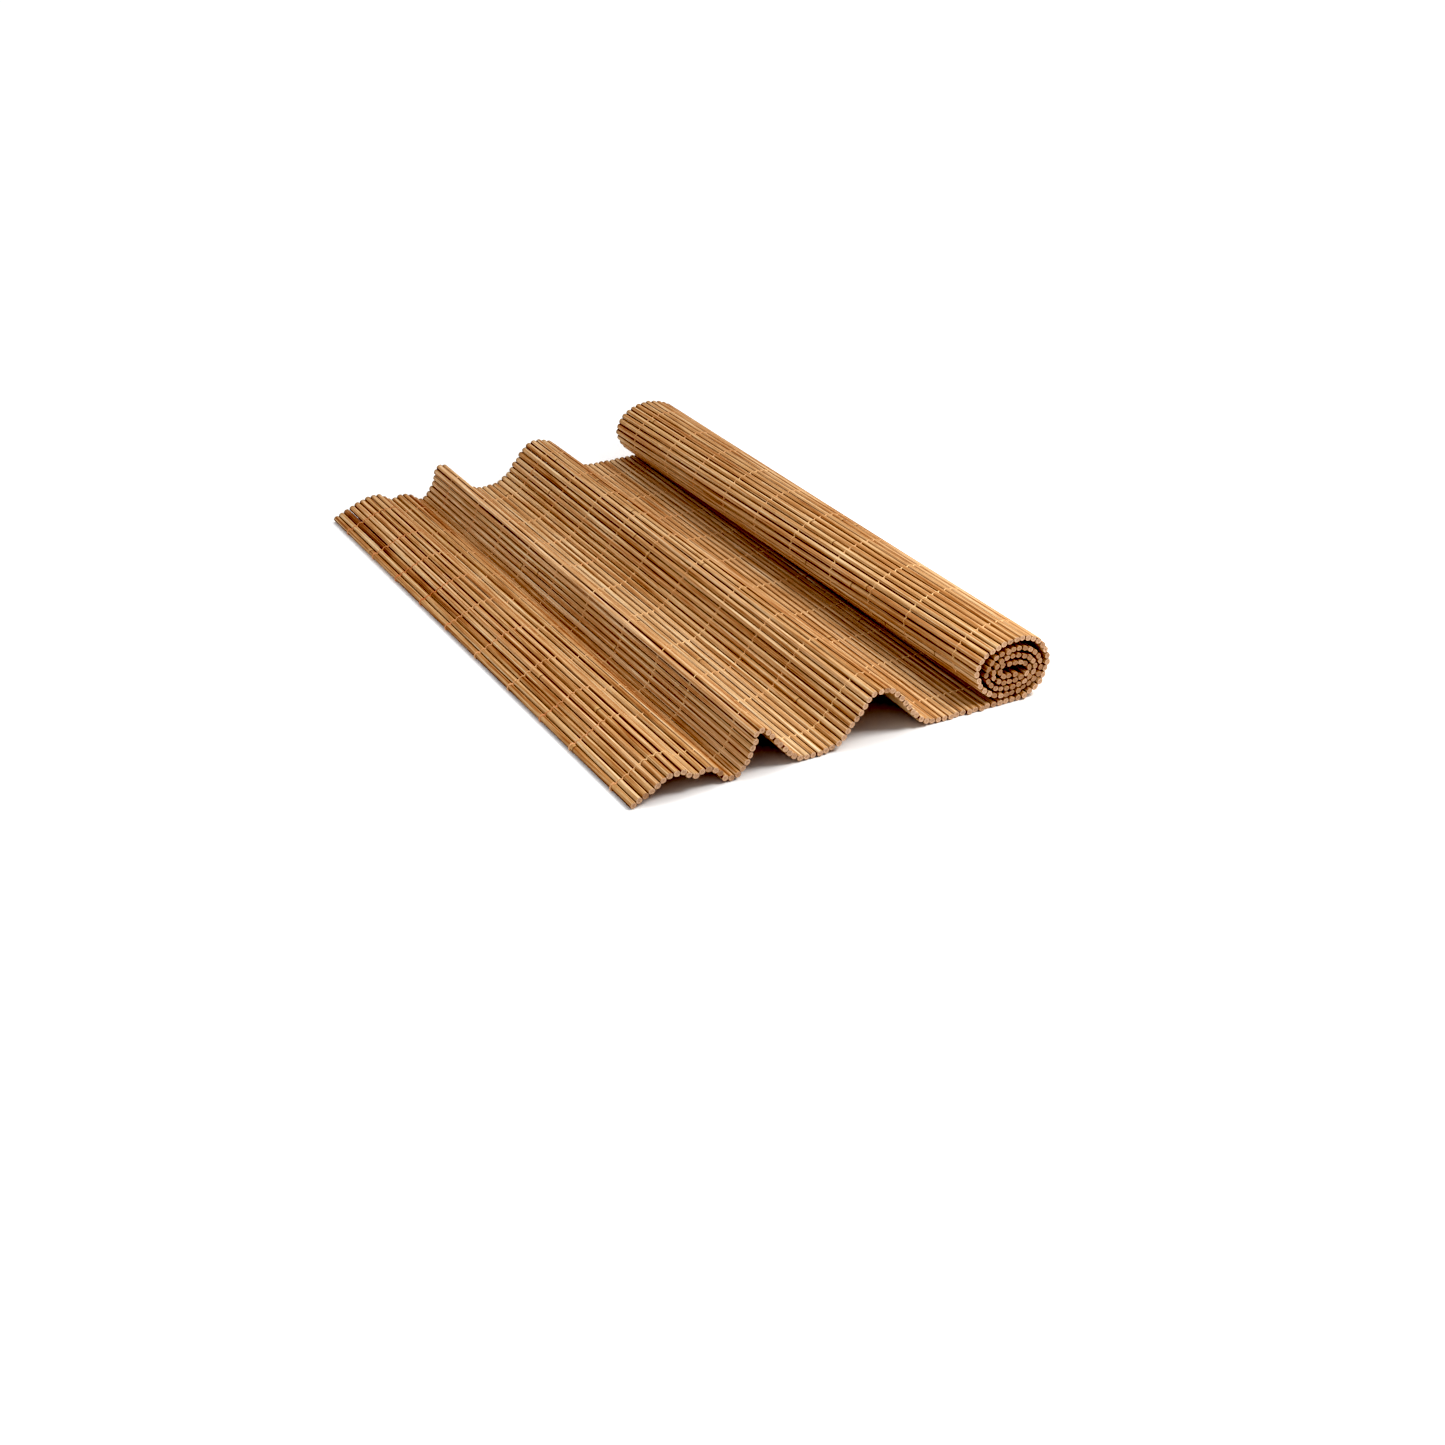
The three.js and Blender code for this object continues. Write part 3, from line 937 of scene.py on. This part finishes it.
def slat_piece(name, first):
    """Forty rods from slat number first on, as one piece."""
    points, faces, corner_map, sections, looks, growths = [], [], [], [], [], []
    for strip in range(SLATS_EACH):
        slat = first + strip
        places, in_section, look_values, node_gaps = rod(slat)
        shift = strip * ROD_POINTS
        faces += [[corner + shift for corner in face] for face in ROD_INDEX]
        points.append(single_ends(places))
        sections.append(single_ends(in_section))
        corner_map.append(rod_map(in_section, strip, SLATS_EACH))
        looks.append(single_ends(look_values))
        growths.append(single_ends(node_gaps))
    values = {"section": sections, "look": looks, "growth": growths}
    return make_piece(name, points, faces, corner_map, values, bamboo)


slat_pieces = [slat_piece(name, k * SLATS_EACH) for k, name in enumerate(PIECES)]
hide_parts("slat_mat")

# %% [markdown]
# Each of the ten rows is one long thread, folded round the first slat. Its two halves run side by side
# through the mat, over one slat and under the next, and they swap sides and twist about each other in every
# gap, which shows as a row of small slanted stitches. Half circles round each slat's centre draw that path.
# They meet in the gaps, where the thread bulges, and are pressed flat into the slats' crowns, so that the
# stitches show more than the runs between them. On the first few slats the thread is slacker and stands on
# the crowns as a line from stitch to stitch.

# %% Thread rows
THREAD_ROWS = (15.9, 49.7, 75.6, 105, 136.9, 167.3, 194.9, 222.7, 249.9, 281.1)
THREAD_RADIUS = 0.09
STITCH_RADIUS = 0.46
STITCH_SHARPNESS = 4
STRAND_OFFSET = 0.18
CROWN_HEIGHT = -0.05
SLACK_SLATS = 7
SLACK_RISE = 0.15
SLACK_RADIUS = 0.12
ARC_STEPS = 6
TUBE_SIDES = 6
WRAP_STEPS = 14
WRAP_REACH = 0.62


def arc(centre, start_point, stop_point, way, crown):
    """Points round a centre from one point to another, against the clock with 1, pressed to the crown."""
    from_angle = math.atan2(*(start_point - centre)[::-1])
    to_angle = math.atan2(*(stop_point - centre)[::-1])
    swing = way * ((way * (to_angle - from_angle)) % (2 * math.pi))
    share = np.linspace(0, 1, ARC_STEPS + 1)
    angle = from_angle + swing * share
    reach = np.linalg.norm(start_point - centre) * (1 - share) + np.linalg.norm(stop_point - centre) * share
    reach += (crown - reach) * np.sin(math.pi * share) ** 2
    return centre + np.stack([np.cos(angle), np.sin(angle)], axis=1) * reach[:, None]


def half_row(centres, gaps, phase):
    """Half a row's thread, from the first slat's outer side on: rows of X, Z, sideways place, radius."""
    path = []
    turn = np.linspace(0, math.pi, ARC_STEPS + 1)
    for slat in range(SLAT_COUNT):
        over = 1 if (slat + phase) % 2 == 0 else -1
        slack = math.exp(-((slat / SLACK_SLATS) ** 2))
        crown = half_thick[slat] + CROWN_HEIGHT + SLACK_RISE * slack
        places = arc(centres[slat], gaps[slat], gaps[slat + 1], -over, crown)
        sideways = STRAND_OFFSET * over * np.cos(turn)
        thin = THREAD_RADIUS + SLACK_RADIUS * slack
        thick = thin + (STITCH_RADIUS - thin) * np.cos(turn) ** STITCH_SHARPNESS
        repeated = 1 if slat else 0
        path.append(np.column_stack([places, sideways, thick])[repeated:])
    return np.concatenate(path)


def row_path(from_near):
    """A row's thread, out along one half, round the first slat and back: its points and radius."""
    share = from_near / SLAT_LENGTH
    centres = near_centres * (1 - share) + far_centres * share
    middles = (centres[1:] + centres[:-1]) / 2
    gaps = np.concatenate([2 * centres[:1] - middles[:1], middles, 2 * centres[-1:] - middles[-1:]])
    lower = half_row(centres, gaps, 1)
    upper = half_row(centres, gaps, 0)
    turn = np.linspace(0, 2 * math.pi, WRAP_STEPS + 1)
    spoke = gaps[0] - centres[0]
    cos, sin = np.cos(turn), np.sin(turn)
    wrap = np.stack([spoke[0] * cos + spoke[1] * sin, spoke[1] * cos - spoke[0] * sin], axis=1) + centres[0]
    swing = lower[0, 2] * (1 - turn / math.pi) + WRAP_REACH * np.sin(turn / 2)
    wrapped = np.column_stack([wrap, swing, np.full(len(swing), THREAD_RADIUS + SLACK_RADIUS)])
    path = np.concatenate([lower[::-1], wrapped[1:-1], upper])
    points = np.column_stack([path[:, 0], path[:, 2] + from_near - SLAT_LENGTH / 2, path[:, 1]])
    points[:, 2] = np.maximum(points[:, 2], path[:, 3])
    return points, path[:, 3]


print("points on one thread", len(row_path(THREAD_ROWS[0])[0]))

# %% Tubes
MAP_ROWS = 16
# Size of a tube's end on the flat map, and how far it stays off the strip's edge
CAP_SIZE = 0.001
CAP_INSET = 0.002


def tube(path, thick, across):
    """A tube's points round a path, with the place round and along it for each point, and its faces."""
    steps = np.gradient(path, axis=0)
    steps /= np.linalg.norm(steps, axis=1)[:, None]
    side = across - (steps @ across)[:, None] * steps
    side /= np.linalg.norm(side, axis=1)[:, None]
    other = np.cross(steps, side)
    angle = np.linspace(0, 2 * math.pi, TUBE_SIDES, endpoint=False)
    cos, sin = np.cos(angle)[None, :, None], np.sin(angle)[None, :, None]
    points = path[:, None] + (side[:, None] * cos + other[:, None] * sin) * thick[:, None, None]
    travelled = np.concatenate([[0], np.cumsum(np.linalg.norm(np.diff(path, axis=0), axis=1))])
    places = np.stack(np.broadcast_arrays(cos[..., 0], sin[..., 0], travelled[:, None]), axis=2)
    faces = [list(range(TUBE_SIDES))[::-1]]
    for k in range(len(path) - 1):
        ring, after = k * TUBE_SIDES, (k + 1) * TUBE_SIDES
        for j in range(TUBE_SIDES):
            turn = (j + 1) % TUBE_SIDES
            faces.append([ring + j, ring + turn, after + turn, after + j])
    faces.append([(len(path) - 1) * TUBE_SIDES + j for j in range(TUBE_SIDES)])
    return points.reshape(-1, 3), places.reshape(-1, 3), faces


def tube_map(segments, strip, strips, rows):
    """The flat map of a tube's face corners: it is cut into so many rows, stacked on the tube's own strip."""
    per_row = math.ceil(segments / rows)
    cap = []
    for j in range(TUBE_SIDES):
        cap.append((CAP_SIZE * math.cos(j), (strip + CAP_SIZE * math.sin(j)) / strips + CAP_INSET))
    corners = cap[::-1]
    for k in range(segments):
        row, place = divmod(k, per_row)
        low = strip + row / rows
        for j in range(TUBE_SIDES):
            near_v = (low + j / TUBE_SIDES / rows) / strips
            far_v = (low + (j + 1) / TUBE_SIDES / rows) / strips
            near_u, far_u = place / per_row, (place + 1) / per_row
            corners += [(near_u, near_v), (near_u, far_v), (far_u, far_v), (far_u, near_v)]
    corners += cap
    return np.array(corners).clip(0, 1)


# %% [markdown]
# The thread of the first slats is the deeper orange one, and it fades towards the pale one that the rest of
# the mat shows, most of all in the near rows. The far rows keep more of the deeper orange as painted shade,
# for the reddish look of the thread where it lies in shade. The dye is set point by point: strong near the
# loose edge, weaker and a little patchy beyond it.

# %% Threads
DYE_FADE = 60
DYE_NEAR_ROW = 0.1
FAR_ROW_DYE_AND_SHADE = 0.55
DYE_FIRST_SLATS = 0.5
# Two waves of dye along a thread: how strong, how long, and how much they shift from row to row
DYE_WAVES = ((0.12, 31, 1), (0.08, 11, 2))


def thread_piece(name, rows):
    """The threads of some rows as one piece."""
    points, faces, corner_map, strands, dyes = [], [], [], [], []
    for strip, from_near in enumerate(rows):
        path, thick = row_path(from_near)
        ring_points, places, tube_faces = tube(path, thick, np.array([0, 1, 0]))
        points.append(ring_points)
        strands.append(places)
        faces += [[corner + strip * len(ring_points) for corner in face] for face in tube_faces]
        corner_map.append(tube_map(len(path) - 1, strip, len(rows), MAP_ROWS))
        middle = abs(np.arange(len(path)) - len(path) / 2)
        patches = 0
        for strength, length, shift in DYE_WAVES:
            patches = patches + strength * np.sin(middle / length + shift * from_near)
        # Partly real dye and partly painted shade: the far rows are dyed deeper for the reddish look of
        # thread in shade
        row_dye_and_shade = DYE_NEAR_ROW + (FAR_ROW_DYE_AND_SHADE - DYE_NEAR_ROW) * from_near / SLAT_LENGTH
        first = DYE_FIRST_SLATS + (1 - DYE_FIRST_SLATS) * from_near / SLAT_LENGTH
        dye_and_shade_along = row_dye_and_shade + (first - row_dye_and_shade) * np.exp(-((middle / DYE_FADE) ** 2)) + patches
        dyes.append(np.repeat(dye_and_shade_along.clip(0, 1), TUBE_SIDES))
    values = {"strand": strands, "dye": dyes}
    return make_piece(name, points, faces, corner_map, values, thread_dye)


thread_pieces = [
    thread_piece("threads_near", THREAD_ROWS[: len(THREAD_ROWS) // 2]),
    thread_piece("threads_far", THREAD_ROWS[len(THREAD_ROWS) // 2 :]),
]

# %% [markdown]
# Split bamboo sheds splinters. A few thin slivers stand off the skin where the photograph shows pale
# flecks, the longest beside the loose edge. Each is a tube that starts in the skin, lifts off it in a curve
# and thins to a point, so it uses the same tube helper as the thread.

# %% Splinters
SPLINTER_RADIUS = 0.13
SPLINTER_STEPS = 8
SPLINTER_COUNT = 18
# Its look: tone, hue and seed
SPLINTER_LOOK = (0.97, 0.5, 7.0)
# A little over 1, so that the point isn't quite closed
SPLINTER_TIP = 1.02
ON_ROLL_SHARE = 0.3
ROLL_SLATS = (76, 102)
ROLL_BEARINGS = (240, 300)
WAVE_SLATS = (2, 66)
WAVE_BEARINGS = (60, 120)
LENGTHS = (4, 11)
STATIONS = (20, 280)
LIFTS = (0.1, 0.45)
Splinter = collections.namedtuple("Splinter", "slat from_near length bearing lift")
SPLINTERS = [
    Splinter(1, 272, -20, 45, 0.55),
    Splinter(6, 236, -9, 70, 0.5),
    Splinter(5, 203, -8, 75, 0.35),
    Splinter(18, 266, -15, 100, 0.5),
    Splinter(20, 252, -12, 95, 0.4),
    Splinter(37, 262, -9, 80, 0.7),
    Splinter(44, 60, -8, 70, 0.4),
]
for _ in range(SPLINTER_COUNT):
    on_roll = draw.random() < ON_ROLL_SHARE
    chosen = int(draw.integers(*(ROLL_SLATS if on_roll else WAVE_SLATS)))
    bearing = float(draw.uniform(*(ROLL_BEARINGS if on_roll else WAVE_BEARINGS)))
    length = float(draw.uniform(*LENGTHS) * draw.choice([-1, 1]))
    from_near = float(draw.uniform(*STATIONS))
    SPLINTERS.append(Splinter(chosen, from_near, length, bearing, float(draw.uniform(*LIFTS))))
print(len(SPLINTERS), "splinters")


def splinter_piece(name):
    """All splinters as one piece of bamboo."""
    points, faces, corner_map, sections = [], [], [], []
    share = np.linspace(0, 1, SPLINTER_STEPS + 1)
    for strip, splinter in enumerate(SPLINTERS):
        station = splinter.from_near + splinter.length * share
        centre, along, up = slat_axis(splinter.slat, station)
        bearing = math.radians(splinter.bearing)
        across = math.cos(bearing) * (HALF_WIDTH + splinter.lift * share**2)
        above = math.sin(bearing) * (half_thickness(splinter.slat, station) + splinter.lift * share**2)
        at = centre + across[:, None] * along + above[:, None] * up
        path = np.stack([at[:, 0], station - SLAT_LENGTH / 2, at[:, 1]], axis=1)
        thick = SPLINTER_RADIUS * np.sqrt(SPLINTER_TIP - share)
        ring_points, _, tube_faces = tube(path, thick, np.array([1, 0, 0]))
        faces += [[corner + strip * len(ring_points) for corner in face] for face in tube_faces]
        points.append(ring_points)
        corner_map.append(tube_map(SPLINTER_STEPS, strip, len(SPLINTERS), 1))
        on_skin = np.full((len(share), 2), [math.cos(bearing), math.sin(bearing)])
        skin_place = np.column_stack([on_skin, station])
        sections.append(np.repeat(skin_place, TUBE_SIDES, axis=0))
    count = sum(len(part) for part in points)
    looks = np.tile(SPLINTER_LOOK, (count, 1))
    growths = np.tile([NO_NODE, NO_NODE, 0.0], (count, 1))
    values = {"section": sections, "look": [looks], "growth": [growths]}
    return make_piece(name, points, faces, corner_map, values, bamboo)


splinters = splinter_piece("splinters")
